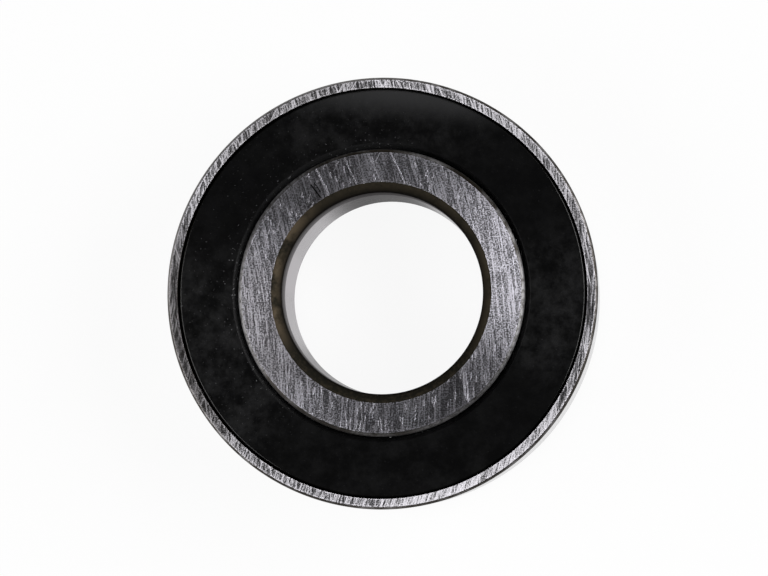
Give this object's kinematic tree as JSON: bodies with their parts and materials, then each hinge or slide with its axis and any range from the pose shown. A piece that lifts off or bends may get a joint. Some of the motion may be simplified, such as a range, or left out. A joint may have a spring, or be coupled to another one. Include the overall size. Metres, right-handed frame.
{
  "type": "angular contact ball bearing",
  "caption": "Sealed single-row angular contact ball bearing: two raceway rings, balls in a conical cage and black rubber seals, carries a shaft under radial and one-way axial load.",
  "frame": {"origin": "on the bearing axis, in the plane of the rear face that the bearing lies on", "axes": "+Z along the bearing axis, from the rear face to the front face; +X through the first ball"},
  "size_m": [0.032, 0.032, 0.009],
  "materials": {
    "ring_steel": "ground",
    "ball_steel": "polished",
    "seal_rubber": "moulded satin",
    "cage_polyamide": "moulded"
  },
  "bodies": {
    "outer_assembly": {"outer_ring": "ring_steel", "front_seal": "seal_rubber", "rear_seal": "seal_rubber"},
    "inner_ring": {"inner_ring": "ring_steel"},
    "cage": {"cage": "cage_polyamide"},
    "ball_01": {"ball_01": "ball_steel"},
    "ball_02": {"ball_02": "ball_steel"},
    "ball_03": {"ball_03": "ball_steel"},
    "ball_04": {"ball_04": "ball_steel"},
    "ball_05": {"ball_05": "ball_steel"},
    "ball_06": {"ball_06": "ball_steel"},
    "ball_07": {"ball_07": "ball_steel"},
    "ball_08": {"ball_08": "ball_steel"},
    "ball_09": {"ball_09": "ball_steel"},
    "ball_10": {"ball_10": "ball_steel"},
    "ball_11": {"ball_11": "ball_steel"}
  },
  "joints": [
    {"name": "inner_ring_spin", "type": "hinge", "parent": "outer_assembly", "child": "inner_ring", "pos_m": [0, 0, 0.0045], "axis": [0, 0, 1], "continuous": true},
    {"name": "cage_orbit", "type": "hinge", "parent": "outer_assembly", "child": "cage", "pos_m": [0, 0, 0.0045], "axis": [0, 0, 1], "continuous": true},
    {"name": "ball_01_spin", "type": "hinge", "parent": "cage", "child": "ball_01", "pos_m": [0.01175, 0, 0.0045], "axis": [0.5, 0, 0.866], "continuous": true},
    {"name": "ball_02_spin", "type": "hinge", "parent": "cage", "child": "ball_02", "pos_m": [0.00988, 0.00635, 0.0045], "axis": [0.4206, 0.2703, 0.866], "continuous": true},
    {"name": "ball_03_spin", "type": "hinge", "parent": "cage", "child": "ball_03", "pos_m": [0.00488, 0.01069, 0.0045], "axis": [0.2077, 0.4548, 0.866], "continuous": true},
    {"name": "ball_04_spin", "type": "hinge", "parent": "cage", "child": "ball_04", "pos_m": [-0.00167, 0.01163, 0.0045], "axis": [-0.0712, 0.4949, 0.866], "continuous": true},
    {"name": "ball_05_spin", "type": "hinge", "parent": "cage", "child": "ball_05", "pos_m": [-0.00769, 0.00888, 0.0045], "axis": [-0.3274, 0.3779, 0.866], "continuous": true},
    {"name": "ball_06_spin", "type": "hinge", "parent": "cage", "child": "ball_06", "pos_m": [-0.01127, 0.00331, 0.0045], "axis": [-0.4797, 0.1409, 0.866], "continuous": true},
    {"name": "ball_07_spin", "type": "hinge", "parent": "cage", "child": "ball_07", "pos_m": [-0.01127, -0.00331, 0.0045], "axis": [-0.4797, -0.1409, 0.866], "continuous": true},
    {"name": "ball_08_spin", "type": "hinge", "parent": "cage", "child": "ball_08", "pos_m": [-0.00769, -0.00888, 0.0045], "axis": [-0.3274, -0.3779, 0.866], "continuous": true},
    {"name": "ball_09_spin", "type": "hinge", "parent": "cage", "child": "ball_09", "pos_m": [-0.00167, -0.01163, 0.0045], "axis": [-0.0712, -0.4949, 0.866], "continuous": true},
    {"name": "ball_10_spin", "type": "hinge", "parent": "cage", "child": "ball_10", "pos_m": [0.00488, -0.01069, 0.0045], "axis": [0.2077, -0.4548, 0.866], "continuous": true},
    {"name": "ball_11_spin", "type": "hinge", "parent": "cage", "child": "ball_11", "pos_m": [0.00988, -0.00635, 0.0045], "axis": [0.4206, -0.2703, 0.866], "continuous": true}
  ],
  "couplings": [
    {"joint": "cage_orbit", "follows": "inner_ring_spin", "ratio": 0.41225},
    {"joint": "ball_01_spin", "follows": "inner_ring_spin", "ratio": -2.3915},
    {"joint": "ball_02_spin", "follows": "inner_ring_spin", "ratio": -2.3915},
    {"joint": "ball_03_spin", "follows": "inner_ring_spin", "ratio": -2.3915},
    {"joint": "ball_04_spin", "follows": "inner_ring_spin", "ratio": -2.3915},
    {"joint": "ball_05_spin", "follows": "inner_ring_spin", "ratio": -2.3915},
    {"joint": "ball_06_spin", "follows": "inner_ring_spin", "ratio": -2.3915},
    {"joint": "ball_07_spin", "follows": "inner_ring_spin", "ratio": -2.3915},
    {"joint": "ball_08_spin", "follows": "inner_ring_spin", "ratio": -2.3915},
    {"joint": "ball_09_spin", "follows": "inner_ring_spin", "ratio": -2.3915},
    {"joint": "ball_10_spin", "follows": "inner_ring_spin", "ratio": -2.3915},
    {"joint": "ball_11_spin", "follows": "inner_ring_spin", "ratio": -2.3915}
  ]
}
